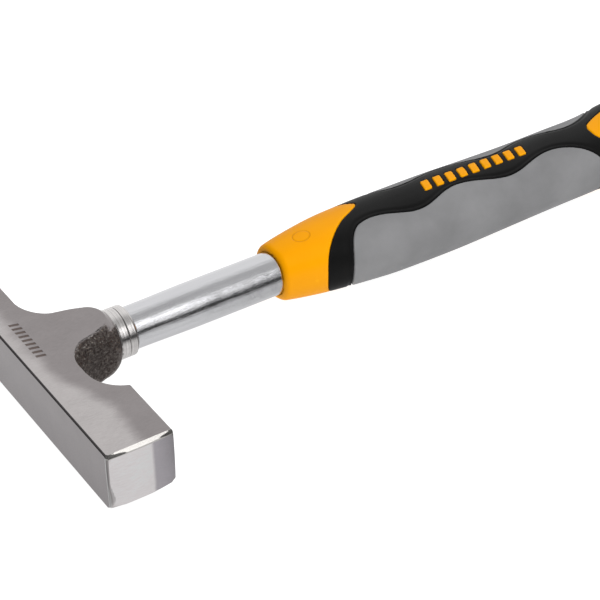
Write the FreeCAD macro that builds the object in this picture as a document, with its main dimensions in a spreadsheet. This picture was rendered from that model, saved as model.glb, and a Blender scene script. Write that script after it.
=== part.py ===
import FreeCAD, Part
import os
import Sketcher

# A bricklayer's hammer with a tubular steel shaft and a moulded three-colour grip, lying on its side.
# Origin: where the shaft's axis meets the crown. +X runs along the shaft to the butt, -Y points to the
# square poll, +Y to the chisel blade, and the two cheeks of the head face +Z and -Z. Every piece is
# drawn about the middle of the head, on the shaft's axis, and then placed crown_depth further along X.

os.makedirs("parts", exist_ok=True)
doc = FreeCAD.newDocument("BrickHammer")
SECTION_TURN = FreeCAD.Rotation(FreeCAD.Vector(1, 1, 1), 120)  # local x, y, z become Y, Z, X

# Driving sizes in millimetres.
SIZES = {
    # head: bar, poll and throat
    "cheek_half": 11.5, "crown_depth": 12.5, "poll_depth": 12.5, "poll_reach": 69.4,
    "throat_start": 40.7, "throat_radius": 14.6, "throat_end": 27.0, "poll_floor": 2.8,
    "face_crown_radius": 190.0, "face_bevel": 1.1, "crown_edge": 0.6,
    # head: chisel blade
    "blade_floor": 0.46, "blade_bend": 24.0, "blade_root": 34.0, "blade_reach": 110.0,
    "bevel_start": 102.0, "edge_back": 2.2, "edge_front": 2.9, "bevel_heel": 0.6,
    "crown_curve": 398.0, "edge_half": 17.5, "flare_curve": 484.0,
    # head: forged boss and turned neck
    "flare_radius": 9.0, "flare_foot": 24.2, "boss_foot": 15.2, "boss_mid_x": 16.4, "boss_mid": 14.2,
    "shoulder_x": 20.6, "shoulder": 13.3, "shoulder_radius": 6.6, "neck_x": 26.0, "neck": 9.6,
    "neck_end": 29.6, "socket_floor": 6.0, "socket": 8.1,
    # ferrule ring and tube
    "ring_end": 33.4, "ring_bevel": 0.9, "tube_full_x": 48.0, "tube_full": 8.4, "tube_grip": 8.5,
    "tube_bore": 6.1, "tube_end": 262.0, "plug_reach": 8.0, "plug_lead": 1.0,
    "bung_start": 250.0, "bung_flange": 2.0,
    # grip
    "lip_x": 93.4, "skin": 2.6, "lip_round": 1.1, "butt_round": 3.0,
    # bolster: its rear edge sweeps back to a blunt tongue on the blade side
    "front_edge": 111.0, "front_side": 13.4, "sweep_x": 133.2, "sweep_y": 2.4, "sweep_radius": 35.0,
    "tongue_x": 132.2, "tongue_y": 8.8, "tongue_round": 3.5, "flank_x": 117.0, "flank_y": 16.0,
    "flank_radius": 29.2,
    # tongue of the core at the butt
    "butt_nose": 245.5, "butt_nose_half": 4.5, "butt_shoulder": 257.0, "butt_tongue_half": 8.0,
    # grey pads: the wavy inner edges
    "poll_pad_front": 121.6, "poll_wave_start": 145.5, "poll_pad_end": 243.5,
    "blade_pad_front": 142.5, "blade_wave_start": 168.5, "blade_pad_end": 256.0,
    "pad_edge": 7.6, "wave_half": 21.0, "wave_radius": 25.5,
    "corner_drop": 6.4, "corner_radius": 15.0, "tail_drop": 9.5, "tail_radius": 30.0,
    # row of raised marks on the spine
    "mark_start": 162.6, "mark_pitch": 5.7, "mark_width": 3.2, "mark_half": 2.9, "mark_slant": 1.7,
    # how far cutting outlines run past the material
    "overrun": 5.0, "far": 40.0,
}
# Sections of the grip: distance along the shaft, half width in Y, half width in Z, shift in Y.
GRIP_SECTIONS = [
    (93.4, 9.9, 9.8, 0.0),
    (96.0, 11.0, 10.9, 0.0),
    (104.0, 12.6, 12.2, 0.0),
    (112.0, 14.0, 13.2, -0.1),
    (123.0, 15.5, 13.8, -0.2),
    (136.0, 17.0, 14.0, -0.8),
    (152.0, 17.9, 14.2, -1.2),
    (172.0, 18.0, 14.3, -1.4),
    (192.0, 17.5, 13.9, -1.5),
    (214.0, 17.0, 13.5, -1.4),
    (236.0, 17.0, 13.5, -1.0),
    (254.0, 17.8, 14.0, -0.9),
    (266.0, 19.2, 15.0, -0.8),
    (274.0, 18.0, 14.0, -0.6),
]
CORE_SECTIONS = range(2, len(GRIP_SECTIONS) - 1)
MARK_COUNT = 9
POLL_WAVES = 4
BLADE_WAVES = 3
TOUCH = 0.01             # edges closer than this lie on the plane they are looked for on
FACE_ZONE = 3.0          # edges this near to the striking face belong to it
FACE_EDGE_LENGTH = 10.0
CROWN_EDGE_LENGTH = 20.0
BUTT_ZONE = 0.5
LEAST_CUT = 0.001        # smallest volume in cubic millimetres that counts as a cut


def make_sheet():
    sheet = doc.addObject("Spreadsheet::Sheet", "Sizes")
    rows = list(SIZES.items())
    for number, (along, half_y, half_z, shift) in enumerate(GRIP_SECTIONS):
        rows.append(("along_%d" % number, along))
        rows.append(("half_y_%d" % number, half_y))
        rows.append(("half_z_%d" % number, half_z))
        rows.append(("shift_%d" % number, shift))
    for row, (alias, value) in enumerate(rows, start=1):
        sheet.set("A%d" % row, alias)
        sheet.set("B%d" % row, str(value))
        sheet.setAlias("B%d" % row, alias)
    doc.recompute()
    return sheet


sheet = make_sheet()


def cells(text):
    """Turn {alias} marks into references to the sheet."""
    return text.replace("{", "Sizes.").replace("}", "")


def value_of(text):
    return float(sheet.evalExpression(cells(text)))


def origin_part(body, role):
    for feature in body.Origin.OriginFeatures:
        if feature.Role == role:
            return feature
    raise ValueError("no origin feature " + role)


def new_body(name):
    body = doc.addObject("PartDesign::Body", name + "_body")
    body.Label = name
    return body


def new_sketch(body, name, plane="XY_Plane"):
    sketch = body.newObject("Sketcher::SketchObject", name)
    sketch.AttachmentSupport = [(origin_part(body, plane), "")]
    sketch.MapMode = "FlatFace"
    return sketch


def loose_sketch(name):
    """A sketch in the XY plane that belongs to no body."""
    return doc.addObject("Sketcher::SketchObject", name)


def bind(sketch, kind, *refs):
    """Add one dimension; the last item is its expression."""
    expression = refs[-1]
    index = sketch.addConstraint(Sketcher.Constraint(kind, *refs[:-1], value_of(expression)))
    sketch.setExpression("Constraints[%d]" % index, cells(expression))


def draw(sketch, points):
    """Closed outline. A point is (x, y) or (x, y, radius): the radius bends the side that leads to it.

    x, y and radius are expressions; a leading "<" on the radius bends the side to the left of travel.
    """
    spots = [FreeCAD.Vector(value_of(p[0]), value_of(p[1]), 0) for p in points]
    sides = []
    for number, point in enumerate(points):
        start = spots[number - 1]
        end = spots[number]
        if len(point) == 2:
            sides.append((sketch.addGeometry(Part.LineSegment(start, end), False), 1, 2))
            continue
        to_left = point[2].startswith("<")
        radius = value_of(point[2].lstrip("<"))
        chord = end - start
        rise = radius - (radius ** 2 - (chord.Length / 2) ** 2) ** 0.5
        across = FreeCAD.Vector(-chord.y, chord.x, 0).normalize()
        middle = (start + end) * 0.5 + across * (rise if to_left else -rise)
        arc = sketch.addGeometry(Part.Arc(start, middle, end), False)
        # arcs run anticlockwise, so one that bends to the left has its ends swapped
        sides.append((arc, 2, 1) if to_left else (arc, 1, 2))
    for number, (side, first, last) in enumerate(sides):
        following, its_first, _ = sides[(number + 1) % len(sides)]
        sketch.addConstraint(Sketcher.Constraint("Coincident", side, last, following, its_first))
        x, y = points[number][:2]
        bind(sketch, "DistanceX", -1, 1, side, last, x)
        bind(sketch, "DistanceY", -1, 1, side, last, y)
        if len(points[number]) == 3:
            bind(sketch, "Radius", side, points[number][2].lstrip("<"))
    return sketch


def spin(body, kind, sketch, name):
    """Revolution or Groove about the shaft's axis."""
    feature = body.newObject("PartDesign::" + kind, name)
    feature.Profile = sketch
    feature.ReferenceAxis = (origin_part(body, "X_Axis"), [""])
    feature.Angle = 360.0
    return feature


def edges_where(shape, test):
    names = []
    for number, edge in enumerate(shape.Edges, start=1):
        if test(edge):
            names.append("Edge%d" % number)
    return names


def must_shrink(before, after, what):
    if after.Shape.Volume >= before - LEAST_CUT:
        raise RuntimeError(what + " removed nothing")


# ---------------------------------------------------------------- head
def make_head():
    """Forged bar with a square poll, a chisel blade, and a round boss that holds the tube."""
    body = new_body("head")
    side = new_sketch(body, "cheek_outline")
    draw(side, [
        ("-{crown_depth}", "-{poll_reach}"),
        ("{poll_depth}", "-{poll_reach}"),
        ("{poll_depth}", "-{throat_start}"),
        ("{poll_floor}", "-{throat_end}", "<{throat_radius}"),
        ("{poll_floor}", "-{boss_foot} / 2"),
        ("{blade_floor}", "{boss_foot} / 2"),
        ("{blade_floor}", "{blade_root}"),
        ("-{bevel_heel}", "{bevel_start}"),
        ("-{edge_back}", "{blade_reach}"),
        ("-{edge_front}", "{blade_reach}"),
        ("-{crown_depth}", "{blade_bend}", "{crown_curve}"),
    ])
    bar = body.newObject("PartDesign::Pad", "bar")
    bar.Profile = side
    bar.setExpression("Length", cells("4 * {cheek_half}"))
    bar.Midplane = True

    boss_line = new_sketch(body, "boss_outline")
    draw(boss_line, [
        ("-{socket_floor} / 2", "0"),
        ("{neck_end}", "0"),
        ("{neck_end}", "{neck}"),
        ("{neck_x}", "{neck}"),
        ("{shoulder_x}", "{shoulder}", "{shoulder_radius}"),
        ("{boss_mid_x}", "{boss_mid}"),
        ("{blade_floor} + {flare_radius}", "{boss_foot}"),
        ("{blade_floor}", "{flare_foot}", "<{flare_radius}"),
        ("-{socket_floor} / 2", "{flare_foot}"),
    ])
    spin(body, "Revolution", boss_line, "boss")
    doc.recompute()

    full = body.Shape.Volume
    plan = new_sketch(body, "cheek_limits", "YZ_Plane")
    for sign in ("", "-"):
        turn = "" if sign == "" else "<"
        draw(plan, [
            ("-2 * {poll_reach}", sign + "{cheek_half}"),
            ("{blade_root}", sign + "{cheek_half}"),
            ("{blade_reach}", sign + "{edge_half}", turn + "{flare_curve}"),
            ("2 * {blade_reach}", sign + "{edge_half}"),
            ("2 * {blade_reach}", sign + "{far}"),
            ("-2 * {poll_reach}", sign + "{far}"),
        ])
    cheeks = body.newObject("PartDesign::Pocket", "cheeks")
    cheeks.Profile = plan
    cheeks.Midplane = True
    cheeks.setExpression("Length", cells("4 * {far}"))
    doc.recompute()
    must_shrink(full, cheeks, "the cheek cut")

    full = body.Shape.Volume
    socket = new_sketch(body, "socket_outline")
    draw(socket, [
        ("-{socket_floor}", "0"),
        ("{neck_end} + {overrun}", "0"),
        ("{neck_end} + {overrun}", "{socket}"),
        ("-{socket_floor}", "{socket}"),
    ])
    spin(body, "Groove", socket, "socket")
    doc.recompute()
    must_shrink(full, body, "the socket")
    crown_face(body)
    bevel_head(body)
    return body


def crown_face(body):
    """The striking face is a shallow dome about the poll's own axis."""
    full = body.Shape.Volume
    dome = new_sketch(body, "dome_outline")
    draw(dome, [
        ("0", "-{poll_reach}", "<{face_crown_radius}"),
        ("0", "-{poll_reach} - {overrun}"),
        ("{far}", "-{poll_reach} - {overrun}"),
        ("{far}", "-{poll_reach} + {face_crown_radius} - sqrt({face_crown_radius}^2 - {far}^2)"),
    ])
    cut = body.newObject("PartDesign::Groove", "dome")
    cut.Profile = dome
    cut.ReferenceAxis = (origin_part(body, "Y_Axis"), [""])
    cut.Angle = 360.0
    doc.recompute()
    must_shrink(full, body, "the face dome")


def bevel_head(body):
    """Ground bevel round the striking face and a fine one along the crown's long edges."""
    front = FACE_ZONE - value_of("{poll_reach}")
    base = body.Tip

    def on_face(edge):
        return all(v.Point.y < front for v in edge.Vertexes) and edge.Length > FACE_EDGE_LENGTH

    bevel = body.newObject("PartDesign::Chamfer", "face_bevel")
    bevel.Base = (base, edges_where(base.Shape, on_face))
    bevel.setExpression("Size", cells("{face_bevel}"))
    doc.recompute()
    crown = -value_of("{crown_depth}")
    cheek = value_of("{cheek_half}")

    def on_crown(edge):
        middle = edge.valueAt((edge.FirstParameter + edge.LastParameter) / 2)
        along_crown = abs(middle.x - crown) < TOUCH and abs(abs(middle.z) - cheek) < TOUCH
        return along_crown and edge.Length > CROWN_EDGE_LENGTH

    fine = body.newObject("PartDesign::Chamfer", "crown_bevel")
    fine.Base = (bevel, edges_where(bevel.Shape, on_crown))
    fine.setExpression("Size", cells("{crown_edge}"))
    doc.recompute()
    body.Tip = fine


# ---------------------------------------------------------------- shaft
def make_round(name, points):
    """A piece turned about the shaft's axis."""
    body = new_body(name)
    sketch = new_sketch(body, name + "_outline")
    draw(sketch, points)
    spin(body, "Revolution", sketch, name + "_turned")
    return body


def make_ring():
    return make_round("socket_ring", [
        ("{neck_end}", "{socket}"),
        ("{neck_end}", "{neck}"),
        ("{ring_end} - {ring_bevel}", "{neck}"),
        ("{ring_end}", "{neck} - {ring_bevel}"),
        ("{ring_end}", "{socket}"),
    ])


def make_tube():
    return make_round("shaft_tube", [
        ("-{socket_floor}", "{tube_bore}"),
        ("-{socket_floor}", "{socket}"),
        ("{ring_end}", "{socket}"),
        ("{tube_full_x}", "{tube_full}"),
        ("{lip_x}", "{tube_grip}"),
        ("{tube_end}", "{tube_grip}"),
        ("{tube_end}", "{tube_bore}"),
    ])


def make_plug():
    """Steel plug at the foot of the socket that spreads the tube's end against the head."""
    return make_round("expander_plug", [
        ("-{socket_floor}", "0"),
        ("-{socket_floor}", "{tube_bore}"),
        ("{plug_reach} - {plug_lead}", "{tube_bore}"),
        ("{plug_reach}", "{tube_bore} - {plug_lead}"),
        ("{plug_reach}", "0"),
    ])


def make_bung():
    """Flanged bung that closes the tube at the butt."""
    return make_round("butt_plug", [
        ("{bung_start}", "0"),
        ("{bung_start}", "{tube_bore} - {plug_lead} / 2"),
        ("{bung_start} + {plug_lead}", "{tube_bore}"),
        ("{tube_end}", "{tube_bore}"),
        ("{tube_end}", "{tube_grip}"),
        ("{tube_end} + {bung_flange}", "{tube_grip}"),
        ("{tube_end} + {bung_flange}", "0"),
    ])


# ---------------------------------------------------------------- grip
def grip_form(name, numbers, inset):
    """Smooth solid through the grip's oval sections, drawn in by inset."""
    sections = []
    for number in numbers:
        oval = doc.addObject("Part::Ellipse", "%s_section_%d" % (name, number))
        oval.Placement = FreeCAD.Placement(FreeCAD.Vector(0, 0, 0), SECTION_TURN)
        oval.setExpression("Placement.Base.x", cells("{along_%d}" % number))
        oval.setExpression("Placement.Base.y", cells("{shift_%d}" % number))
        oval.setExpression("MajorRadius", cells("{half_y_%d} - %s" % (number, inset)))
        oval.setExpression("MinorRadius", cells("{half_z_%d} - %s" % (number, inset)))
        sections.append(oval)
    form = doc.addObject("Part::Loft", name)
    form.Sections = sections
    form.Solid = True
    form.Ruled = False
    return form


def round_ends(form):
    """Small round at the front lip and a larger one at the butt."""
    doc.recompute()
    ends = []
    for number, edge in enumerate(form.Shape.Edges, start=1):
        along = edge.valueAt(edge.FirstParameter).x
        if edge.isClosed() and abs(along - value_of("{lip_x}")) < TOUCH:
            ends.append((number, value_of("{lip_round}"), value_of("{lip_round}")))
        elif edge.isClosed() and abs(along - form.Shape.BoundBox.XMax) < BUTT_ZONE:
            ends.append((number, value_of("{butt_round}"), value_of("{butt_round}")))
    rounded = doc.addObject("Part::Fillet", form.Name + "_rounded")
    rounded.Base = form
    rounded.Edges = ends
    return rounded


def upright(name, outlines):
    """Straight-sided block through the whole grip, standing on flat outlines."""
    sketch = loose_sketch(name + "_outline")
    for outline in outlines:
        draw(sketch, outline)
    block = doc.addObject("Part::Extrusion", name)
    block.Base = sketch
    block.DirMode = "Normal"
    block.Solid = True
    block.Symmetric = True
    block.setExpression("LengthFwd", cells("2 * {far}"))
    return block


def front_block():
    """The bolster's share: its rear edge sweeps back to a blunt tongue on the blade side."""
    return upright("bolster_block", [[
        ("{lip_x} - {overrun}", "-{far}"),
        ("{front_edge}", "-{far}"),
        ("{front_edge}", "-{front_side}"),
        ("{sweep_x}", "{sweep_y}", "{sweep_radius}"),
        ("{tongue_x}", "{tongue_y}", "{tongue_round}"),
        ("{flank_x}", "{flank_y}", "<{flank_radius}"),
        ("{front_edge}", "{far}"),
        ("{lip_x} - {overrun}", "{far}"),
    ]])


def butt_block():
    """A tongue of the core shows on each cheek at the butt."""
    return upright("butt_block", [[
        ("{butt_nose}", "-{butt_nose_half}"),
        ("{butt_shoulder}", "-{butt_tongue_half}"),
        ("{tube_end} + {far}", "-{butt_tongue_half}"),
        ("{tube_end} + {far}", "{butt_tongue_half}"),
        ("{butt_shoulder}", "{butt_tongue_half}"),
        ("{butt_nose}", "{butt_nose_half}"),
    ]])


def pad_block(name, side, waves):
    """A side pad's share, with a wavy inner edge: side is "-" for the poll and "" for the blade."""
    where = "poll" if side == "-" else "blade"
    front = "{%s_pad_front}" % where
    start = "{%s_wave_start}" % where
    finish = "{%s_pad_end}" % where
    bends = ("<", "") if side == "-" else ("", "<")
    outline = [
        (front, side + "{far}"),
        (front, side + "({pad_edge} + {corner_drop})"),
        (start, side + "{pad_edge}", bends[0] + "{corner_radius}"),
    ]
    for number in range(1, waves + 1):
        along = "%s + %d * {wave_half}" % (start, number)
        outline.append((along, side + "{pad_edge}", bends[number % 2] + "{wave_radius}"))
    outline.append((finish, side + "({pad_edge} + {tail_drop})", bends[0] + "{tail_radius}"))
    outline.append((finish, side + "{far}"))
    return upright(name, [outline])


def marks_block():
    """Row of plain slanted bars along the spine."""
    bars = []
    for number in range(MARK_COUNT):
        left = "{mark_start} + %d * {mark_pitch}" % number
        bars.append([
            (left, "-{mark_half}"),
            (left + " + {mark_width}", "-{mark_half}"),
            (left + " + {mark_width} + {mark_slant}", "{mark_half}"),
            (left + " + {mark_slant}", "{mark_half}"),
        ])
    return upright("marks_block", bars)


def combine(kind, name, *parts):
    """Part boolean: Cut and Common take a base and a tool, MultiFuse takes a list."""
    feature = doc.addObject("Part::" + kind, name)
    if kind == "MultiFuse":
        feature.Shapes = list(parts)
    else:
        feature.Base = parts[0]
        feature.Tool = parts[1]
    return feature


def make_grip():
    """Hard core with the bolster, a soft skin over it, and a grey pad on each side."""
    outer = round_ends(grip_form("grip_outer", range(len(GRIP_SECTIONS)), "0"))
    inner = grip_form("grip_inner", CORE_SECTIONS, "{skin}")
    bore = doc.addObject("Part::Cylinder", "tube_room")
    bore.Placement = FreeCAD.Placement(FreeCAD.Vector(0, 0, 0), FreeCAD.Rotation(FreeCAD.Vector(0, 1, 0), 90))
    bore.setExpression("Radius", cells("{tube_grip}"))
    bore.setExpression("Height", cells("{tube_end} + {bung_flange}"))
    shell = combine("Cut", "grip_shell", outer, inner)
    hard = combine("MultiFuse", "hard_share", front_block(), butt_block(), marks_block())
    poll = pad_block("poll_pad_block", "-", POLL_WAVES)
    blade = pad_block("blade_pad_block", "", BLADE_WAVES)
    core_full = combine("MultiFuse", "core_full", inner, combine("Common", "hard_shell", shell, hard))
    pieces = {
        "grip_core": combine("Cut", "grip_core_piece", core_full, bore),
        "poll_side_pad": combine("Common", "poll_side_pad_piece", shell, poll),
        "blade_side_pad": combine("Common", "blade_side_pad_piece", shell, blade),
    }
    taken = combine("MultiFuse", "skin_openings", hard, poll, blade)
    pieces["grip_skin"] = combine("Cut", "grip_skin_piece", shell, taken)
    for name, piece in pieces.items():
        piece.Label = name
    return list(pieces.values())


def check_all(parts):
    for item in doc.Objects:
        if "Invalid" in item.State or "Error" in item.State:
            raise RuntimeError("failed: " + item.Name)
    for item in parts:
        shape = item.Shape
        if shape.isNull() or not shape.isValid() or not shape.Solids:
            raise RuntimeError("bad shape: " + item.Label)


parts = [make_head(), make_ring(), make_tube(), make_plug(), make_bung()] + make_grip()
doc.recompute()
for item in parts:
    item.Placement = FreeCAD.Placement(FreeCAD.Vector(value_of("{crown_depth}"), 0, 0), FreeCAD.Rotation())
check_all(parts)
for item in parts:
    item.Shape.exportStep("parts/%s.step" % item.Label)
    box = item.Shape.BoundBox
    print("%-16s %2d solid(s) %10.0f mm3  x %.1f..%.1f  y %.1f..%.1f  z %.1f..%.1f" % (
        item.Label, len(item.Shape.Solids), item.Shape.Volume,
        box.XMin, box.XMax, box.YMin, box.YMax, box.ZMin, box.ZMax))
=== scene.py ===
import bpy
import math
import numpy as np
from mathutils import Matrix, Vector


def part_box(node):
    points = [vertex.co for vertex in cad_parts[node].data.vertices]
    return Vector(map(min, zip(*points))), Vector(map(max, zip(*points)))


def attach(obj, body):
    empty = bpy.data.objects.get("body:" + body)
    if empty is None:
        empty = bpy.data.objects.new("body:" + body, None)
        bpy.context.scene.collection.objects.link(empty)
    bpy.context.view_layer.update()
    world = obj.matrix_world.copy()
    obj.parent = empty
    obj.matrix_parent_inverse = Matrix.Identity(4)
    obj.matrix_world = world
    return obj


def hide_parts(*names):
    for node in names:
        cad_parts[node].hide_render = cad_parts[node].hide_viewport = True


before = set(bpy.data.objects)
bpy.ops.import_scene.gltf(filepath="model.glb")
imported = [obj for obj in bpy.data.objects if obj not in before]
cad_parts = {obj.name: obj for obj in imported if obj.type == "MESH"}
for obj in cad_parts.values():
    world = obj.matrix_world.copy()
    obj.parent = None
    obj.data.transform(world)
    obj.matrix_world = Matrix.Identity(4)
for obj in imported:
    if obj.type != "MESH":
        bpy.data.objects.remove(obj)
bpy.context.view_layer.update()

# A bricklayer's hammer lying on its side. Shapes below are written in millimetres in the row's frame:
# X from the crown to the butt, -Y to the poll, +Y to the blade, Z out of the upper cheek.
MM = 0.001


def box_mm(node):
    low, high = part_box(node)
    return np.array(low) / MM, np.array(high) / MM


HEAD_LOW, HEAD_HIGH = box_mm("head")
RING_LOW, RING_HIGH = box_mm("socket_ring")
CORE_LOW, CORE_HIGH = box_mm("grip_core")
TUBE_LOW, TUBE_HIGH = box_mm("shaft_tube")

CHEEK = 11.5             # half the head's thickness
POLL_DEPTH = 25.0        # from the crown to the poll's side nearest the hand
FACE_Y = HEAD_LOW[1]
EDGE_Y = HEAD_HIGH[1]
NECK_R = RING_HIGH[2]
NECK_END = HEAD_HIGH[0]
BUTT_X = CORE_HIGH[0]


# ------------------------------------------------------------------ implicit shapes
def meet(a, b, radius):
    """Intersection of two solids, its edge rounded."""
    reach = np.hypot(np.maximum(a + radius, 0), np.maximum(b + radius, 0))
    return np.minimum(-radius, np.maximum(a, b)) + reach


def join(a, b, radius):
    """Union of two solids with a fillet between them."""
    reach = np.hypot(np.maximum(radius - a, 0), np.maximum(radius - b, 0))
    return np.maximum(radius, np.minimum(a, b)) - reach


def ease(value, start, end):
    part = np.clip((value - start) / (end - start), 0, 1)
    return part * part * (3 - 2 * part)


def smooth_line(knots, values):
    """Smooth curve through a few knots."""
    knots = np.array(knots, float)
    values = np.array(values, float)
    slopes = np.gradient(values, knots)

    def curve(x):
        low = np.clip(np.searchsorted(knots, x) - 1, 0, len(knots) - 2)
        span = knots[low + 1] - knots[low]
        t = np.clip((x - knots[low]) / span, 0, 1)
        return ((1 + 2 * t) * (1 - t) ** 2 * values[low] + t * (1 - t) ** 2 * span * slopes[low]
                + t * t * (3 - 2 * t) * values[low + 1] - t * t * (1 - t) * span * slopes[low + 1])

    return curve


def field_grid(field, low, high, step):
    lines = [np.arange(low[i], high[i] + step, step) for i in range(3)]
    values = np.empty([len(line) for line in lines], np.float32)
    slab = 24
    for first in range(0, len(lines[0]), slab):
        part = np.meshgrid(lines[0][first:first + slab], lines[1], lines[2], indexing="ij")
        values[first:first + slab] = field(*part)
    return values


def corner_slices(values, shift):
    """The grid's values at one corner of every cell."""
    return values[tuple(slice(s, s - 1 if s == 0 else None) for s in shift)]


def surface_net(field, low, high, step, crisp=False):
    """Points and quads on the surface where the field is zero; a crisp one keeps its creases."""
    low = np.array(low, float)
    values = field_grid(field, low, high, step)
    inside = values < 0
    shifts = [(i, j, k) for i in (0, 1) for j in (0, 1) for k in (0, 1)]
    total = sum(corner_slices(inside, s).astype(np.int8) for s in shifts)
    mixed = (total > 0) & (total < 8)
    numbers = np.full(mixed.shape, -1, np.int64)
    cells = np.argwhere(mixed)
    numbers[mixed] = np.arange(len(cells))
    middle = np.zeros((len(cells), 3))
    count = np.zeros(len(cells))
    normals = []
    owners = []
    crossings = []
    quads = []
    for axis in range(3):
        ahead = [slice(None)] * 3
        behind = [slice(None)] * 3
        ahead[axis] = slice(1, None)
        behind[axis] = slice(None, -1)
        starts = inside[tuple(behind)]
        change = np.argwhere(starts != inside[tuple(ahead)])
        b, c = [(1, 2), (2, 0), (0, 1)][axis]
        limit = mixed.shape
        keep = (change[:, b] > 0) & (change[:, c] > 0) & (change[:, b] < limit[b]) & (change[:, c] < limit[c])
        change = change[keep]
        spot = cross_edges(field, low, step, change, axis)
        slope = slope_of(field, spot)
        slope /= np.maximum(np.linalg.norm(slope, axis=1, keepdims=True), 1e-9)
        solid_first = starts[tuple(change.T)]
        ring = []
        for db, dc in ((1, 1), (0, 1), (0, 0), (1, 0)):
            cell = change.copy()
            cell[:, b] -= db
            cell[:, c] -= dc
            owner = numbers[tuple(cell.T)]
            ring.append(owner)
            for part in range(3):
                middle[:, part] += np.bincount(owner, spot[:, part], len(cells))
            count += np.bincount(owner, minlength=len(cells))
            owners.append(owner)
            normals.append(slope)
            crossings.append(spot)
        ring = np.stack(ring, 1)
        ring[~solid_first] = ring[~solid_first][:, ::-1]
        quads.append(ring)
    middle /= count[:, None]
    if not crisp:
        return settle(field, middle, step), np.concatenate(quads)
    points, creased = onto_creases(middle, np.concatenate(owners), np.concatenate(normals),
                                   np.concatenate(crossings), step)
    smooth = settle(field, points[~creased], step)
    points[~creased] = smooth
    return points, np.concatenate(quads)


def cross_edges(field, low, step, change, axis):
    """Where the surface crosses the given grid edges, found by halving."""
    near = low + step * change
    far = near.copy()
    far[:, axis] += step
    start = field(*near.T) < 0
    for _ in range(9):
        middle = (near + far) / 2
        same = (field(*middle.T) < 0) == start
        near[same] = middle[same]
        far[~same] = middle[~same]
    return (near + far) / 2


def onto_creases(middle, owner, normal, spot, step):
    """Best meeting point of the tangent planes seen in every cell, and which cells hold a crease."""
    size = len(middle)
    offset = spot - middle[owner]
    push = (normal * offset).sum(1)
    matrix = np.zeros((size, 3, 3))
    right = np.zeros((size, 3))
    mean = np.zeros((size, 3))
    for i in range(3):
        right[:, i] = np.bincount(owner, normal[:, i] * push, size)
        mean[:, i] = np.bincount(owner, normal[:, i], size)
        for j in range(3):
            matrix[:, i, j] = np.bincount(owner, normal[:, i] * normal[:, j], size)
    share = np.bincount(owner, minlength=size)
    creased = np.linalg.norm(mean, axis=1) / share < 0.985
    matrix += np.eye(3) * 0.06
    move = np.linalg.solve(matrix, right[:, :, None])[:, :, 0]
    length = np.linalg.norm(move, axis=1, keepdims=True)
    return middle + move * np.minimum(1, 0.9 * step / np.maximum(length, 1e-9)), creased


def slope_of(field, p):
    tiny = 0.02
    x, y, z = p.T
    return np.stack([
        field(x + tiny, y, z) - field(x - tiny, y, z),
        field(x, y + tiny, z) - field(x, y - tiny, z),
        field(x, y, z + tiny) - field(x, y, z - tiny)], 1) / (2 * tiny)


def settle(field, points, step):
    for _ in range(5):
        slope = slope_of(field, points)
        size = np.maximum((slope ** 2).sum(1), 0.05)
        move = -(field(*points.T) / size)[:, None] * slope
        length = np.linalg.norm(move, axis=1, keepdims=True)
        points = points + move * np.minimum(1, 0.5 * step / np.maximum(length, 1e-9))
    return points


def make_piece(name, points, faces, node, material, marks=None, crease=None):
    """Mesh object in metres that stands for a CAD node, with named values on its points."""
    mesh = bpy.data.meshes.new(name)
    count = len(faces[0])
    mesh.vertices.add(len(points))
    mesh.vertices.foreach_set("co", (np.asarray(points, float) * MM).astype(np.float32).ravel())
    mesh.loops.add(faces.size)
    mesh.loops.foreach_set("vertex_index", faces.astype(np.int32).ravel())
    mesh.polygons.add(len(faces))
    mesh.polygons.foreach_set("loop_start", np.arange(0, faces.size, count, dtype=np.int32))
    mesh.polygons.foreach_set("use_smooth", np.ones(len(faces), bool))
    mesh.update(calc_edges=True)
    mesh.validate()
    if crease is not None:
        mesh.set_sharp_from_angle(angle=math.radians(crease))
        keep_sharp(mesh, marks["forged"])
    for key, values in (marks or {}).items():
        attribute = mesh.attributes.new(key, "FLOAT", "POINT")
        attribute.data.foreach_set("value", np.asarray(values, np.float32))
    mesh.materials.append(material)
    piece = bpy.data.objects.new(name, mesh)
    bpy.context.scene.collection.objects.link(piece)
    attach(piece, "root")
    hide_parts(node)


def keep_sharp(mesh, forged):
    """Forged skin has no crisp edges of its own."""
    ends = np.empty(len(mesh.edges) * 2, np.int32)
    mesh.edges.foreach_get("vertices", ends)
    rough = np.asarray(forged)[ends.reshape(-1, 2)].max(1) > 0.5
    sharp = np.empty(len(mesh.edges), bool)
    mesh.attributes["sharp_edge"].data.foreach_get("value", sharp)
    mesh.attributes["sharp_edge"].data.foreach_set("value", sharp & ~rough)


def lathe(profile, turns):
    """Points and quads of a closed profile of (x, radius) turned about the shaft's axis."""
    profile = np.array(profile, float)
    angles = np.linspace(0, 2 * math.pi, turns, endpoint=False)
    x = np.repeat(profile[:, :1], turns, 1)
    y = profile[:, 1:] * np.cos(angles)[None, :]
    z = profile[:, 1:] * np.sin(angles)[None, :]
    points = np.stack([x, y, z], 2).reshape(-1, 3)
    rows = np.arange(len(profile))
    here = (rows[:, None] * turns + np.arange(turns)[None, :])
    beyond = np.roll(here, -1, 0)
    faces = np.stack([here, beyond, np.roll(beyond, -1, 1), np.roll(here, -1, 1)], 2).reshape(-1, 4)
    return points, faces


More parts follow.
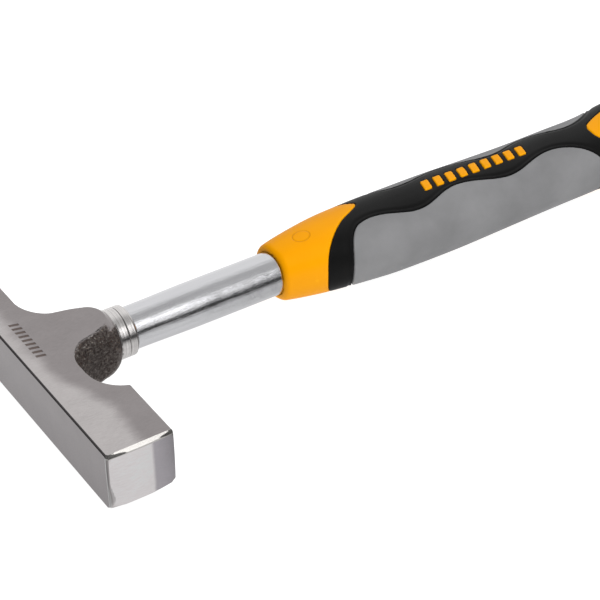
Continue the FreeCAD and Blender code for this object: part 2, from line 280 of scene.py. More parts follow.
# ------------------------------------------------------------------ head
THROAT_AT = (30.0, -27.0)        # middle of the round throat between the poll and the boss
THROAT_R = 14.6
POLL_FLOOR = 15.35               # depth of the bar from the crown, on the poll's side of the boss
BLADE_FLOOR = 12.96              # and on the blade's side
BLADE_ROOT = 34.0                # where the blade starts to thin
BLADE_TAPER = 0.0156
BOSS_FILLET = 9.0
BOSS_END = 38.4
CROWN_BEND = (24.0, 398.0)       # where the blade starts to curve, and its radius
FLARE = (34.0, 484.0)            # where the blade starts to widen, and its radius
FACE_DOME = 190.0
RIM_Y = FACE_Y + 0.3             # where the domed face meets its bevels
FACE_BEVEL = 1.1
WEDGE = 0.6                      # how much steeper the face's bevel is ground towards its two ends
CROWN_WEDGE = 9.5                # how far that steeper grinding runs in from the crown
HAND_WEDGE = 7.0                 # and from the side nearest the hand
CROWN_EDGE = (0.62, 0.2)         # chamfer along the crown, upper and lower cheek
POLL_EDGE = 0.45
DIAGONAL = 0.7071                # of a plane that leans over one edge
CORNER = 0.577                   # of a plane that cuts off a corner
CREASE = 5.0                     # edges that turn by more degrees than this stay crisp
SOCKET_R = 8.1
SOCKET_FLOOR = 6.5
NECK_START = 20.0


def rough_noise(x, y, z):
    """Lumpy value from a few turned sine waves, about -1 to 1."""
    total = 0
    waves = ((1.7, 0.4, 1.1), (-0.9, 1.9, 0.7), (0.6, -1.2, 2.1), (2.3, 1.3, -0.8), (-1.6, 2.6, 1.9))
    for number, (a, b, c) in enumerate(waves):
        total = total + np.sin(a * x + b * y + c * z + 1.3 * number) * np.sin(b * x - c * y + a * z + number)
    return total / len(waves)


boss_radius = smooth_line((8.0, 21.96, 28.9, 31.8, 33.4, 34.8, 35.8, 36.7, 37.6, 38.2),
                          (17.2, 15.1, 14.0, 13.35, 13.0, 12.5, 11.95, 11.35, 10.5, 9.7))


def boss_field(x, y, z):
    """Forged boss: a slightly tapered round wall that rounds over into the neck."""
    steep = np.where(x > 33, 0.75, 1.0)
    return meet((np.hypot(y + 0.45, z) - boss_radius(x)) * steep, x - BOSS_END, 0.3)


def handle_side(x, y, z):
    """Side of the head that faces the hand: poll, throat, boss and the inner side of the blade."""
    floor_x = POLL_FLOOR + (BLADE_FLOOR - POLL_FLOOR) * ease(y, -26, 8)
    floor_x = floor_x - np.maximum(y - BLADE_ROOT, 0) * BLADE_TAPER
    body = join(x - floor_x, boss_field(x, y, z), BOSS_FILLET)
    poll = np.maximum(x - POLL_DEPTH, y - THROAT_AT[1])
    body = np.minimum(body, poll)
    throat = THROAT_R - np.hypot(x - THROAT_AT[0], y - THROAT_AT[1])
    body = meet(body, throat, 0.35)
    bevel = np.where(y > 60, (x - 11.9) * 0.98 + (y - 102.0) * 0.2, -9)
    return meet(body, bevel, 0.4)


def crown_side(x, y, z):
    bent = np.hypot(x - CROWN_BEND[1], y - CROWN_BEND[0]) - CROWN_BEND[1]
    return np.where(y > CROWN_BEND[0], bent, -x)


def cheek_side(x, y, z):
    centre = CHEEK + FLARE[1]
    flared = FLARE[1] - np.hypot(y - FLARE[0], np.abs(z) - centre)
    return np.where(y > FLARE[0], flared, np.abs(z) - CHEEK)


def face_field(x, y, z):
    """Domed striking face with ground bevels, wider at its corners."""
    middle = POLL_DEPTH / 2
    face = np.sqrt((x - middle) ** 2 + (y - FACE_Y - FACE_DOME) ** 2 + z ** 2) - FACE_DOME
    front = RIM_Y - y
    top = z - CHEEK + front + FACE_BEVEL
    sag = np.where(x < 11, 0.0108, 0.0070) * (x - 11) ** 2
    drop = np.clip(-z / 10, 0, 1.2)
    reach = 0.75 + 0.35 * np.clip((z - 5) / 5.5, 0, 1.3) + 3.3 * drop ** 1.5
    rise = FACE_BEVEL - 0.045 * np.clip(5 - z, 0, 16)
    fall = (front + FACE_BEVEL - z + CHEEK) / 2
    cuts = (
        top * DIAGONAL,
        (top + WEDGE * (fall - FACE_BEVEL * x / CROWN_WEDGE)) * 0.69,
        (top + WEDGE * (fall - FACE_BEVEL * (POLL_DEPTH - x) / HAND_WEDGE)) * 0.69,
        (-z - CHEEK + front + sag) * DIAGONAL,
        (front + rise - x * rise / reach) * 0.6,
        (z - x - CHEEK + front + 2.2) * CORNER,
        (x - POLL_DEPTH - z - CHEEK + front + 2.6) * CORNER,
        (-x - z - CHEEK + front + 2.1) * CORNER,
    )
    for cut in cuts:
        face = np.maximum(face, cut)
    return face


def head_field(x, y, z):
    crown = crown_side(x, y, z)
    cheek = cheek_side(x, y, z)
    body = np.maximum(handle_side(x, y, z), crown)
    crown_edge = (crown + cheek + np.where(z > 0, *CROWN_EDGE)) * DIAGONAL
    handle_edge = np.where(y < THROAT_AT[1], (x - POLL_DEPTH + cheek + POLL_EDGE) * DIAGONAL, -9)
    for limit in (cheek, crown_edge, handle_edge, face_field(x, y, z), y - EDGE_Y):
        body = np.maximum(body, limit)
    radius = np.hypot(y, z)
    neck = np.maximum(meet(radius - NECK_R, x - NECK_END, 0.08), NECK_START - x)
    body = np.minimum(body, neck)
    return np.maximum(body, -np.maximum(radius - SOCKET_R, SOCKET_FLOOR - x))


def forged_share(p):
    """1 on the skin left as forged, 0 on ground and turned skin."""
    x, y, z = p.T
    radius = np.hypot(y, z)
    ragged = 0.3 * rough_noise(x * 0.9, y * 0.9, z * 0.9)
    off_cheek = ease(cheek_side(x, y, z) + ragged, -0.15, -0.55)
    off_crown = ease(x, 9.0, 11.0)
    off_neck = 1 - ease(x, 38.25, 38.55)
    off_shoulder = 1 - ease(x, 33.6, 34.8) * ease(z + 0.35 * y + ragged, 6.2, 7.0)
    in_throat = ease(y, -41.5, -40.2) * (1 - ease(y, 26, 40))
    outside = ease(radius, SOCKET_R + 0.6, SOCKET_R + 1.0)
    return off_cheek * off_crown * off_neck * off_shoulder * in_throat * outside


def build_head(material):
    margin = 1.2
    points, faces = surface_net(head_field, HEAD_LOW - margin, HEAD_HIGH + margin, HEAD_STEP, True)
    forged = forged_share(points)
    slope = slope_of(head_field, points)
    slope /= np.maximum(np.linalg.norm(slope, axis=1, keepdims=True), 1e-6)
    lumps = 0.12 * rough_noise(*(points * 1.1).T) + 0.10 * rough_noise(*(points * 2.6 + 5).T)
    points = points + slope * (lumps * forged)[:, None]
    marks = {"forged": forged}
    make_piece("head_forging", points, faces, "head", material, marks, CREASE)


# ------------------------------------------------------------------ grip
GRIP_EXPONENT = 2.3
GRIP_KNOTS = (  # along the shaft, half width in Y, half width in Z, shift in Y
    (103.5, 9.7, 9.6, 0.0), (108.5, 10.8, 10.7, 0.0), (112.5, 11.65, 11.4, 0.0),
    (117.5, 12.6, 12.05, -0.05), (122.5, 13.5, 12.6, -0.1), (132.5, 15.1, 13.2, -0.2),
    (142.5, 16.3, 13.4, -0.6), (152.5, 17.2, 13.5, -1.0), (164.5, 17.5, 13.5, -1.25),
    (182.5, 17.6, 13.5, -1.4), (202.5, 17.1, 13.15, -1.48), (222.5, 16.65, 12.85, -1.4),
    (242.5, 16.6, 12.8, -1.05), (262.5, 16.95, 13.0, -0.95), (274.5, 18.3, 14.0, -0.8),
    (282.5, 18.7, 14.35, -0.7), (287.5, 18.0, 13.8, -0.6),
)
GRIP_STATIONS, *GRIP_LINES = zip(*GRIP_KNOTS)
half_y, half_z, shift_y = (smooth_line(GRIP_STATIONS, line) for line in GRIP_LINES)
TUBE_GRIP_R = TUBE_HIGH[2]
LIP_AT = CORE_LOW[0] - 0.6       # the bolster's lip where it reaches furthest forward
LIP_ROUND = 1.3
BUTT_ROUND = 3.0


def grip_skin_distance(x, y, z):
    """Distance from the grip's oval outer surface."""
    a = half_y(x)
    b = half_z(x)
    u = np.abs(y - shift_y(x)) / a
    w = np.abs(z) / b
    q = np.maximum((u ** GRIP_EXPONENT + w ** GRIP_EXPONENT) ** (1 / GRIP_EXPONENT), 1e-4)
    steep = np.hypot((u / q) ** (GRIP_EXPONENT - 1) / a, (w / q) ** (GRIP_EXPONENT - 1) / b)
    return (q - 1) / steep


def grip_outer(x, y, z):
    """Outside of the whole grip, with a lip that sweeps back on every side of the tube."""
    lip = LIP_AT - 0.039 * y + 0.139 * np.sqrt(y ** 2 + 6) + 0.016 * z ** 2
    body = meet(grip_skin_distance(x, y, z), lip - x, LIP_ROUND)
    return meet(body, x - BUTT_X, BUTT_ROUND)


PAD_MEAN = 7.65          # how far from the spine's middle the pads' wavy edges lie
PAD_SWING = 2.3
PAD_CORNER = 9.0
PAD_ROUND = 0.95
PAD_DEPTH = 2.2
LEDGE_WIDTH = 0.9        # the skin's hidden ledge under a pad's edge
LEDGE_DEPTH = 1.35
SLEEVE_DEPTH = 2.3
POLL_CRESTS = (107.5, 147.5, 187.8, 233.0)       # where the poll pad's wavy edge comes furthest in
BLADE_CRESTS = (128.5, 170.5, 212.5, 250.0)
POLL_FRONT = 133.4
BLADE_FRONT = 155.0


def wavy_edge(x, crests):
    """How far out the pad's inner edge lies, with its tail curling away at the butt."""
    turn = np.interp(x, crests, range(len(crests)))
    out = PAD_MEAN - PAD_SWING * np.cos(2 * math.pi * turn)
    beyond = np.maximum(x - crests[-1], 0)
    return np.where(beyond > 0, PAD_MEAN - PAD_SWING + beyond ** 2 / 40.0, out)


def pad_edge(x, y, z, side, crests, front):
    """Distance in plan from a side pad's outline, below zero inside the pad."""
    edge = wavy_edge(x, crests)
    slope = (wavy_edge(x + 0.1, crests) - wavy_edge(x - 0.1, crests)) / 0.2
    inner = (edge - side * y) / np.sqrt(1 + slope ** 2)
    return meet(inner, front + 0.03 * z - x, PAD_CORNER)


def poll_pad(x, y, z):
    return pad_edge(x, y, z, -1, POLL_CRESTS, POLL_FRONT)


def blade_pad(x, y, z):
    lift = 2.2 * (1 - ease(x, 172, 206))
    return pad_edge(x, y - lift, z, 1, BLADE_CRESTS, BLADE_FRONT)


BOLSTER_ENDS = (-13.9, -11.9, -10.3, -8.4, -5.9, -3.2, -0.7, 1.3, 3.6, 5.4)
bolster_reach = smooth_line(
    (-20, *BOLSTER_ENDS), (123.2, 123.2, 124.6, 126.1, 128.2, 131.2, 134.8, 138.6, 142.7, 146.7, 149.5))
BOLSTER_LEAN = 1.15


def bolster_edge(x, y, z):
    """Distance in plan from the bolster's rear edge, below zero on the bolster."""
    edge = bolster_reach(np.minimum(y, BOLSTER_ENDS[-1]))
    poll_side = (x - edge) / np.where(y > -9, math.hypot(1, 1.5), 1.1)
    blade_side = ((x - 145.9) + (y - 8.4) * BOLSTER_LEAN) / math.hypot(1, BOLSTER_LEAN)
    return meet(poll_side, blade_side, 3.0)


def butt_edge(x, y, z):
    """Distance in plan from the tongue at the butt, below zero inside it."""
    low = -10.3 - y
    top = (y - 6.6 - (x - 270) * 0.02)
    slant = ((y - 1.0) - (x - 258.2) * 0.62) / math.hypot(1, 0.62)
    body = meet(low, 255.9 - x, 5.0)
    return meet(meet(body, slant, 2.2), top, 6.0)


MARK_START = 176.8
MARK_PITCH = 5.7
MARK_COUNT = 9
MARK_HALF = (1.75, 3.0)


def mark_edge(x, y, z):
    """Distance in plan from the nearest raised bar of the row on the spine."""
    along = x - 0.29 * y - MARK_START - 0.8
    number = np.clip(np.round(along / MARK_PITCH), 0, MARK_COUNT - 1)
    return meet(np.abs(along - number * MARK_PITCH) - MARK_HALF[0], np.abs(y) - MARK_HALF[1], 0.5)


def tube_room(x, y, z):
    return TUBE_GRIP_R - np.hypot(y, z)


def core_field(x, y, z):
    outer = grip_outer(x, y, z)
    front = meet(outer, bolster_edge(x, y, z), 0.15)
    tongue = meet(outer, butt_edge(x, y, z), 0.3)
    bars = meet(outer - 0.28, mark_edge(x, y, z), 0.2)
    sleeve = outer + SLEEVE_DEPTH
    body = np.minimum(np.minimum(front, tongue), np.minimum(bars, sleeve))
    return meet(body, tube_room(x, y, z), 0.15)


def skin_field(x, y, z):
    outer = grip_outer(x, y, z)
    pads = np.minimum(poll_pad(x, y, z), blade_pad(x, y, z))
    hard = np.minimum(bolster_edge(x, y, z), butt_edge(x, y, z))
    dip = 0.38 * (1 - ease(pads, 0.9, 2.6)) - 0.30 * np.exp(-((pads - 0.55) / 0.34) ** 2)
    seam = 0.3 * np.exp(-(hard / 0.3) ** 2)
    body = meet(outer + dip + seam, 0.12 - pads, 0.25)
    body = np.minimum(body, meet(outer + LEDGE_DEPTH, -LEDGE_WIDTH - pads, 0.1))
    body = meet(body, 0.12 - hard, 0.12)
    body = np.maximum(body, 0.1 - mark_edge(x, y, z))
    return np.maximum(body, -(outer + SLEEVE_DEPTH))


def pad_field(edge):
    def field(x, y, z):
        outer = grip_outer(x, y, z)
        outline = edge(x, y, z)
        body = meet(outer, outline, PAD_ROUND)
        relief = 0.95 * ease(outline, -LEDGE_WIDTH - 0.5, -LEDGE_WIDTH - 0.1)
        return np.maximum(body, relief - outer - PAD_DEPTH)
    return field


# ------------------------------------------------------------------ material helpers, in metres
STAMP_START = 0.0096
STAMP_PITCH = 0.00256
STAMP_COUNT = 9
STAMP_DEPTH = 0.0070     # of the row's middle, from the crown


class NodeTree:
    """A node tree, and short calls for the nodes it needs."""

    def __init__(self, tree):
        self.tree = tree

    def node(self, kind, **settings):
        made = self.tree.nodes.new(kind)
        for key, value in settings.items():
            setattr(made, key, value)
        return made

    def put(self, socket, value):
        if isinstance(value, bpy.types.NodeSocket):
            self.tree.links.new(value, socket)
        else:
            socket.default_value = value

    def axes(self, vector):
        made = self.node("ShaderNodeSeparateXYZ")
        self.put(made.inputs[0], vector)
        return made.outputs

    def sum(self, kind, a, b=0.0, c=0.0):
        made = self.node("ShaderNodeMath", operation=kind)
        self.put(made.inputs[0], a)
        self.put(made.inputs[1], b)
        self.put(made.inputs[2], c)
        return made.outputs[0]

    def span(self, value, low, high, to_low, to_high):
        made = self.node("ShaderNodeMapRange")
        self.put(made.inputs["Value"], value)
        for key, number in (("From Min", low), ("From Max", high), ("To Min", to_low), ("To Max", to_high)):
            made.inputs[key].default_value = number
        return made.outputs["Result"]

    def ease(self, value, start, end):
        made = self.node("ShaderNodeMapRange", interpolation_type="SMOOTHSTEP")
        self.put(made.inputs["Value"], value)
        made.inputs["From Min"].default_value = start
        made.inputs["From Max"].default_value = end
        return made.outputs["Result"]

    def blend(self, share, first, second):
        made = self.node("ShaderNodeMix", data_type="RGBA")
        self.put(made.inputs[0], share)
        self.put(made.inputs[6], first)
        self.put(made.inputs[7], second)
        return made.outputs[2]


class Shader(NodeTree):
    """A material with one Principled surface, textured in the row's own metres."""

    def __init__(self, name):
        self.material = bpy.data.materials.new(name)
        self.material.use_nodes = True
        super().__init__(self.material.node_tree)
        self.surface = self.tree.nodes["Principled BSDF"]
        self.place = self.node("ShaderNodeTexCoord").outputs["Object"]

    def set(self, **values):
        for key, value in values.items():
            self.put(self.surface.inputs[key.replace("_", " ")], value)

    def scaled(self, x, y, z):
        made = self.node("ShaderNodeMapping")
        self.put(made.inputs["Vector"], self.place)
        made.inputs["Scale"].default_value = (x, y, z)
        return made.outputs["Vector"]

    def noise(self, where, detail=4.0, rough=0.55):
        made = self.node("ShaderNodeTexNoise")
        self.put(made.inputs["Vector"], where)
        made.inputs["Scale"].default_value = 1.0
        made.inputs["Detail"].default_value = detail
        made.inputs["Roughness"].default_value = rough
        return made.outputs["Fac"]

    def mark(self, name):
        return self.node("ShaderNodeAttribute", attribute_name=name).outputs["Fac"]

    def bump(self, height, distance, strength=1.0, under=None):
        made = self.node("ShaderNodeBump")
        self.put(made.inputs["Height"], height)
        made.inputs["Distance"].default_value = distance
        made.inputs["Strength"].default_value = strength
        if under is not None:
            self.put(made.inputs["Normal"], under)
        return made.outputs["Normal"]

    def bars(self, along, across, height):
        """Row of nine plain bars stamped in the upper cheek beside the crown."""
        slanted = self.sum("ADD", self.sum("ADD", across, STAMP_START), self.sum("MULTIPLY", along, 0.25))
        step = self.sum("DIVIDE", slanted, STAMP_PITCH)
        beside = self.sum("ABSOLUTE", self.sum("SUBTRACT", self.sum("FRACT", step), 0.5))
        inside = self.ease(beside, 0.27, 0.20)
        half = STAMP_COUNT / 2
        row = self.ease(self.sum("ABSOLUTE", self.sum("SUBTRACT", step, half)), half + 0.02, half - 0.02)
        tall = self.ease(self.sum("ABSOLUTE", self.sum("SUBTRACT", along, STAMP_DEPTH)), 0.0018, 0.0016)
        upper = self.ease(height, 0.0108, 0.0112)
        return self.sum("MULTIPLY", self.sum("MULTIPLY", inside, row), self.sum("MULTIPLY", tall, upper))

    def worn_edge(self):
        point = self.node("ShaderNodeNewGeometry").outputs["Pointiness"]
        return self.span(point, 0.52, 0.60, 0.0, 1.0)


def rgb(r, g, b):
    return (r, g, b, 1.0)


# ------------------------------------------------------------------ materials
FACE_M = FACE_Y * MM
RING_DARK = rgb(0.74, 0.71, 0.70)
RING_LIGHT = rgb(0.97, 0.945, 0.93)
OVAL_AT = (0.1199, -0.0005)      # the mould mark on the bolster
OVAL_HALF = (0.0034, 0.0029)


def ground_steel():
    """Linished steel and the dark gritty skin left by the forging, with painted light: a reflection patch on
    the cheek along the crown, a dimmer third on the face, shade on the crown's side, sparkle on the skin and
    a glint on the face's rim.
    """
    s = Shader("ground_steel")
    along, across, height = s.axes(s.place)
    lines = s.noise(s.scaled(420, 2100, 2100), 4.0, 0.65)
    clouds = s.noise(s.scaled(70, 110, 110), 4.0)
    forged = s.mark("forged")
    kept = s.sum("SUBTRACT", 1.0, forged)
    # Painted reflection: the cheek is painted lighter in a cloudy patch along the crown, reaching further in
    # on the poll's side.
    glare_narrowing = s.sum("MULTIPLY", s.ease(across, -0.048, -0.020), -0.0092)
    reach = s.sum("ADD", s.sum("ADD", 0.0139, glare_narrowing), s.span(clouds, 0.3, 0.7, -0.0012, 0.0012))
    off_painted_glare = s.ease(s.sum("SUBTRACT", along, reach), -0.0030, 0.0036)
    end_face = s.ease(across, FACE_M + 0.0007, FACE_M + 0.0005)
    crown = s.ease(along, 0.0004, 0.0001)
    off_painted_glare = s.sum("MAXIMUM", s.sum("MULTIPLY", off_painted_glare, s.sum("SUBTRACT", 1.0, end_face)), crown)
    base = s.blend(off_painted_glare, rgb(0.63, 0.595, 0.59), rgb(0.375, 0.345, 0.345))
    # Painted shade: the crown's side is painted darker towards its lower edge.
    below = s.blend(s.span(height, -0.011, 0.004, 0, 1), rgb(0.215, 0.195, 0.20), rgb(0.272, 0.250, 0.255))
    base = s.blend(crown, base, below)
    # Painted reflection: the third of the face furthest from the crown is painted dimmer than the rest.
    painted_dim_third = s.ease(s.sum("ADD", along, s.span(clouds, 0.3, 0.7, -0.0002, 0.0002)), 0.0162, 0.0178)
    face = s.blend(painted_dim_third, rgb(1.0, 0.955, 0.962), rgb(0.57, 0.54, 0.575))
    base = s.blend(end_face, base, face)
    slant = s.ease(across, FACE_M + 0.0016, FACE_M + 0.0013)
    slant = s.sum("MULTIPLY", slant, s.ease(height, 0.0097, 0.0100))
    base = s.blend(slant, base, rgb(0.74, 0.715, 0.69))
    grain = s.sum("ADD", s.sum("MULTIPLY", lines, 0.6), s.sum("MULTIPLY", clouds, 0.4))
    tone = s.span(grain, 0.3, 0.7, 0.90, 1.10)
    rings = s.noise(s.scaled(3600, 15, 15), 2.0)
    turned = s.ease(along, 0.0382, 0.0386)
    bright = s.blend(s.ease(rings, 0.3, 0.7), RING_DARK, RING_LIGHT)
    shade = s.node("ShaderNodeVectorMath", operation="SCALE")
    s.put(shade.inputs[0], s.blend(turned, base, bright))
    s.put(shade.inputs["Scale"], tone)
    grit = s.noise(s.scaled(1100, 1100, 1100), 7.0, 0.75)
    pits = s.ease(grit, 0.36, 0.70)
    # Bright flecks in the grit, with more of them towards the upper cheek as painted highlight.
    grit_sparkle_highlight = s.ease(s.sum("ADD", grit, s.span(height, 0.0, 0.011, -0.04, 0.03)), 0.585, 0.66)
    skin = s.blend(pits, rgb(0.14, 0.112, 0.104), rgb(0.52, 0.46, 0.43))
    skin = s.blend(grit_sparkle_highlight, skin, rgb(1.0, 0.95, 0.9))
    stamp = s.bars(along, across, height)
    ground = s.blend(s.sum("MULTIPLY", stamp, 0.75), shade.outputs[0], rgb(0.10, 0.06, 0.045))
    lower = s.sum("MINIMUM", s.sum("SUBTRACT", height, 0.005), 0.0)
    rim = s.sum("SUBTRACT", across, s.sum("MULTIPLY", lower, 0.045))
    glint = s.ease(s.sum("ABSOLUTE", s.sum("ADD", rim, -FACE_M - 0.0014)), 0.00032, 0.0001)
    glint = s.sum("MULTIPLY", glint, s.ease(along, 0.0010, 0.0005))
    ground = s.blend(s.sum("MULTIPLY", glint, 0.6), ground, rgb(1, 1, 1))
    s.set(Base_Color=s.blend(forged, ground, skin), Metallic=1.0)
    smooth = s.span(lines, 0.3, 0.7, 0.10, 0.19)
    gritty = s.span(grit, 0.3, 0.7, 0.56, 0.26)
    s.set(Roughness=s.sum("ADD", s.sum("MULTIPLY", smooth, kept), s.sum("MULTIPLY", gritty, forged)))
    fine = s.bump(s.sum("MULTIPLY", lines, kept), 0.00003, 0.5, s.bump(stamp, -0.0001, 0.8))
    fine = s.bump(s.sum("MULTIPLY", rings, turned), 0.00003, 0.7, fine)
    s.set(Normal=s.bump(s.sum("MULTIPLY", grit, forged), 0.0006, 1.0, fine))
    return s.material


def turned_steel():
    """Bright steel with the fine rings a lathe leaves."""
    s = Shader("turned_steel")
    rings = s.noise(s.scaled(5200, 20, 20), 2.0, 0.5)
    patch = s.noise(s.scaled(120, 120, 120), 4.0)
    s.set(Base_Color=s.blend(s.ease(rings, 0.3, 0.7), RING_DARK, RING_LIGHT), Metallic=1.0)
    s.set(Roughness=s.span(patch, 0.3, 0.7, 0.12, 0.20), Normal=s.bump(rings, 0.00003, 0.7))
    return s.material


def chrome_plate():
    """Bright plate over a drawn tube: faint lines along the shaft and a slight waviness."""
    s = Shader("chrome_plate")
    drawn = s.noise(s.scaled(70, 1300, 1300), 5.0, 0.65)
    wavy = s.noise(s.scaled(90, 240, 240), 3.0)
    s.set(Base_Color=s.blend(drawn, rgb(0.80, 0.80, 0.83), rgb(0.90, 0.90, 0.92)), Metallic=1.0)
    s.set(Roughness=s.span(wavy, 0.3, 0.7, 0.03, 0.07))
    s.set(Normal=s.bump(drawn, 0.00010, 0.7, s.bump(wavy, 0.00022, 0.6)))
    return s.material


def mould_mark(s, skin):
    """Thin oval line that a mould insert leaves on top of the bolster, added to the surface's bump."""
    along, across, height = s.axes(s.place)
    over_x = s.sum("DIVIDE", s.sum("SUBTRACT", along, OVAL_AT[0]), OVAL_HALF[0])
    over_y = s.sum("DIVIDE", s.sum("SUBTRACT", across, OVAL_AT[1]), OVAL_HALF[1])
    square = s.sum("ADD", s.sum("POWER", over_x, 2), s.sum("POWER", over_y, 2))
    away = s.sum("ABSOLUTE", s.sum("SUBTRACT", s.sum("SQRT", square), 1.0))
    line = s.sum("MULTIPLY", s.ease(away, 0.11, 0.03), s.ease(height, 0.0, 0.004))
    colour = s.surface.inputs["Base Color"]
    plain = colour.links[0].from_socket
    s.put(colour, s.blend(s.sum("MULTIPLY", line, 0.3), plain, rgb(0.55, 0.19, 0.0)))
    return s.bump(line, -0.0002, 0.8, skin)


def moulded(name, dark, light, rough_low, rough_high, grain, depth, shine=0.5, ring=False):
    """Moulded plastic or rubber: fine spark-eroded grain, faint flow clouds and paler worn edges."""
    s = Shader(name)
    flow = s.noise(s.scaled(45, 45, 45), 4.0)
    pores = s.noise(s.scaled(grain, grain, grain), 3.0, 0.6)
    body = s.blend(s.span(flow, 0.3, 0.7, 0, 1), dark, light)
    pale = tuple(min(1.0, c * 1.25 + 0.01) for c in light[:3]) + (1.0,)
    s.set(Base_Color=s.blend(s.sum("MULTIPLY", s.worn_edge(), 0.35), body, pale))
    s.set(Roughness=s.span(pores, 0.3, 0.7, rough_low, rough_high), Specular_IOR_Level=shine)
    skin = s.bump(pores, depth, 0.6)
    s.set(Normal=mould_mark(s, skin) if ring else skin)
    return s.material


# ------------------------------------------------------------------ build
HEAD_STEP = 0.46
GRIP_STEP = 0.5
CORE_STEP = 0.56
GRIP_ROOM = 4.0          # how far a grip piece's grid reaches past its CAD node's box
TURNS = 160              # points round a turned piece
TUBE_BORE = 6.1


def build_net(name, field, node, material, step=GRIP_STEP):
    low, high = box_mm(node)
    points, faces = surface_net(field, low - GRIP_ROOM, high + GRIP_ROOM, step)
    make_piece(name, points, faces, node, material)


def build_tube(material):
    """Chromed tube: drawn a little thicker towards the grip, with a crisp bore."""
    stations = np.linspace(TUBE_LOW[0], TUBE_HIGH[0], 90)
    radii = SOCKET_R + (TUBE_GRIP_R - SOCKET_R) * ease(stations, RING_HIGH[0] + 1, 75)
    bore = [(TUBE_HIGH[0], TUBE_BORE), (TUBE_LOW[0], TUBE_BORE)]
    points, faces = lathe([*zip(stations, radii), *bore], TURNS)
    make_piece("chrome_tube", points, faces, "shaft_tube", material)


def build_ring(material):
    """Turned ring with fine lathe ridges and a bevelled lip."""
    low = RING_LOW[0] + 0.04
    high = RING_HIGH[0]
    outer = [(low, SOCKET_R), (low, NECK_R - 0.16), (low + 0.15, NECK_R - 0.04)]
    ridges = np.linspace(low + 0.35, high - 1.0, 30)
    outer += [(x, NECK_R - 0.02 + 0.002 * math.sin(x * 13)) for x in ridges]
    outer += [(high - 0.8, NECK_R - 0.05), (high - 0.1, NECK_R - 0.75)]
    outer += [(high, NECK_R - 1.0), (high, SOCKET_R)]
    points, faces = lathe(outer, TURNS)
    make_piece("turned_ring", points, faces, "socket_ring", material)


STEEL = ground_steel()
TURNED = turned_steel()
CHROME = chrome_plate()
YELLOW = moulded("yellow_plastic", rgb(0.885, 0.345, 0.0), rgb(0.92, 0.37, 0.0),
                 0.36, 0.48, 1500, 0.00002, 0.10, ring=True)
BLACK = moulded("black_rubber", rgb(0.005, 0.005, 0.005), rgb(0.008, 0.008, 0.008),
                0.36, 0.50, 2200, 0.00003, 0.13)
GREY = moulded("grey_rubber", rgb(0.195, 0.195, 0.199), rgb(0.255, 0.255, 0.26),
               0.46, 0.60, 2200, 0.00003, 0.3)
BUNG = moulded("plug_plastic", rgb(0.03, 0.03, 0.03), rgb(0.05, 0.05, 0.05), 0.4, 0.6, 1500, 0.00003)

build_head(STEEL)
build_tube(CHROME)
build_ring(TURNED)
build_net("yellow_core", core_field, "grip_core", YELLOW, CORE_STEP)
build_net("black_skin", skin_field, "grip_skin", BLACK)
build_net("grey_pad_poll", pad_field(poll_pad), "poll_side_pad", GREY)
build_net("grey_pad_blade", pad_field(blade_pad), "blade_side_pad", GREY)
for hidden, finish in (("expander_plug", TURNED), ("butt_plug", BUNG)):
    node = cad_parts[hidden]
    node.data.materials.clear()
    node.data.materials.append(finish)


# ------------------------------------------------------------------ studio
def build_floor():
    size = 4.0
    level = HEAD_LOW[2] * MM
    corners = [(-size, -size, level), (size, -size, level), (size, size, level), (-size, size, level)]
    mesh = bpy.data.meshes.new("floor")
    mesh.from_pydata(corners, [], [(0, 1, 2, 3)])
    floor = bpy.data.objects.new("floor", mesh)
    bpy.context.scene.collection.objects.link(floor)
    s = Shader("floor")
    s.set(Base_Color=rgb(0.3, 0.3, 0.3), Roughness=0.9, Specular_IOR_Level=0.1)
    s.set(Emission_Color=rgb(1, 1, 1), Emission_Strength=0.97)
    mesh.materials.append(s.material)
    floor.visible_glossy = False


# What polished metal sees, by the angle round the shaft (0 at the poll, 90 overhead) and brightness.
ROUND_SHAFT = (
    (-180, 0.80), (-156, 0.86), (-142, 0.84), (-132, 0.78), (-116, 0.67), (-100, 0.58), (-58, 0.66),
    (-51, 0.60), (-40, 0.60), (-35, 0.66), (-20, 0.56), (-10, 0.26), (-4, 0.02), (6, 0.02), (14, 0.10),
    (25, 0.33), (50, 0.38), (60, 0.42), (76, 0.43), (92, 0.43), (108, 0.67), (120, 0.75), (172, 0.75),
    (180, 0.84),
)
# Other brightnesses at some of those angles, for what the tube sees close to the head.
NEAR_HEAD = {-10: 0.34, 6: 0.08, 14: 0.8, 25: 1.9, 50: 1.5, 60: 0.62}


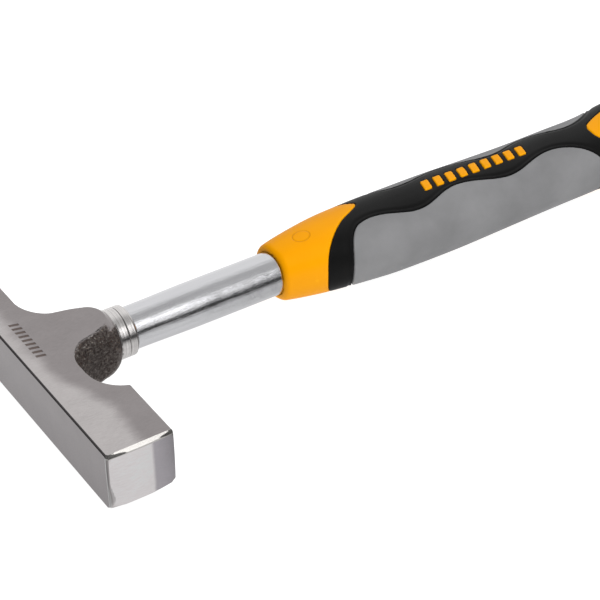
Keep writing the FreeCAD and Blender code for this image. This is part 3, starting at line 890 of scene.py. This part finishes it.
def build_world():
    """Soft white studio seen in bands round the shaft, with dark ends past the crown and the butt."""
    world = bpy.data.worlds.new("studio")
    world.use_nodes = True
    bpy.context.scene.world = world
    s = NodeTree(world.node_tree)
    along, across, height = s.axes(s.node("ShaderNodeTexCoord").outputs["Generated"])
    angle = s.sum("ARCTAN2", height, s.sum("MULTIPLY", across, -1.0))
    turn = s.span(angle, -math.pi, math.pi, 0.0, 1.0)
    ramps = []
    for change in ({}, NEAR_HEAD):
        ramp = s.node("ShaderNodeValToRGB")
        s.put(ramp.inputs[0], turn)
        line = ramp.color_ramp
        while len(line.elements) < len(ROUND_SHAFT):
            line.elements.new(0.5)
        for element, (degrees, level) in zip(line.elements, ROUND_SHAFT):
            level = change.get(degrees, level)
            element.position = (degrees + 180) / 360
            element.color = (level, level, level, 1)
        ramps.append(ramp.outputs[0])
    lean = s.sum("MULTIPLY", s.ease(height, 0.0, -0.2), 0.022)
    glow = s.blend(s.ease(s.sum("ADD", along, lean), 0.381, 0.397), ramps[1], ramps[0])
    behind = s.sum("MULTIPLY", s.ease(along, 0.21, 0.13), s.ease(across, 0.35, 0.15))
    glow = s.blend(s.sum("MULTIPLY", behind, s.ease(height, 0.05, -0.1)), glow, rgb(0.37, 0.37, 0.37))
    ahead = s.ease(across, 0.1, -0.1)
    low = s.sum("MULTIPLY", s.ease(height, 0.62, 0.45), 0.08)
    above = s.ease(height, -0.05, 0.15)
    to_butt = s.sum("ADD", along, s.sum("MULTIPLY", ahead, s.sum("ADD", low, 0.08)))
    to_crown = s.sum("SUBTRACT", along, s.sum("MULTIPLY", ahead, s.sum("ADD", low, 0.15)))
    past_butt = s.sum("MULTIPLY", s.ease(to_butt, 0.55, 0.68), ahead)
    past_crown = s.sum("MULTIPLY", s.ease(to_crown, 0.16, 0.02), above)
    dark = s.sum("MAXIMUM", past_butt, past_crown)
    s.put(s.tree.nodes["Background"].inputs["Color"], s.blend(dark, glow, rgb(0.10, 0.10, 0.10)))


def build_key_light():
    """Soft box above the poll's side of the hammer, unseen in reflections."""
    place = Vector((0.1, -0.45, 0.9))
    aim = Vector((0.1, 0, 0))
    data = bpy.data.lights.new("key", "AREA")
    data.shape = "RECTANGLE"
    data.size = data.size_y = 0.8
    data.energy = 10.5
    light = bpy.data.objects.new("key", data)
    bpy.context.scene.collection.objects.link(light)
    light.location = place
    light.visible_glossy = False
    light.rotation_mode = "QUATERNION"
    light.rotation_quaternion = (aim - place).to_track_quat("-Z", "Y")


def build_camera():
    right = Vector((0.83534, -0.54972, -0.00338))
    up = Vector((0.33120, 0.49835, 0.80122))
    back = Vector((-0.43876, -0.67042, 0.59836))
    place = Vector((-0.21287, -0.50818, 0.43600))
    data = bpy.data.cameras.new("camera")
    data.lens = 120.0
    data.sensor_width = 36.0
    camera = bpy.data.objects.new("camera", data)
    bpy.context.scene.collection.objects.link(camera)
    turn = Matrix((right, up, back)).transposed().to_4x4()
    camera.matrix_world = Matrix.Translation(place) @ turn
    bpy.context.scene.camera = camera


build_floor()
build_world()
build_key_light()
build_camera()
bpy.context.scene.view_settings.view_transform = "Standard"
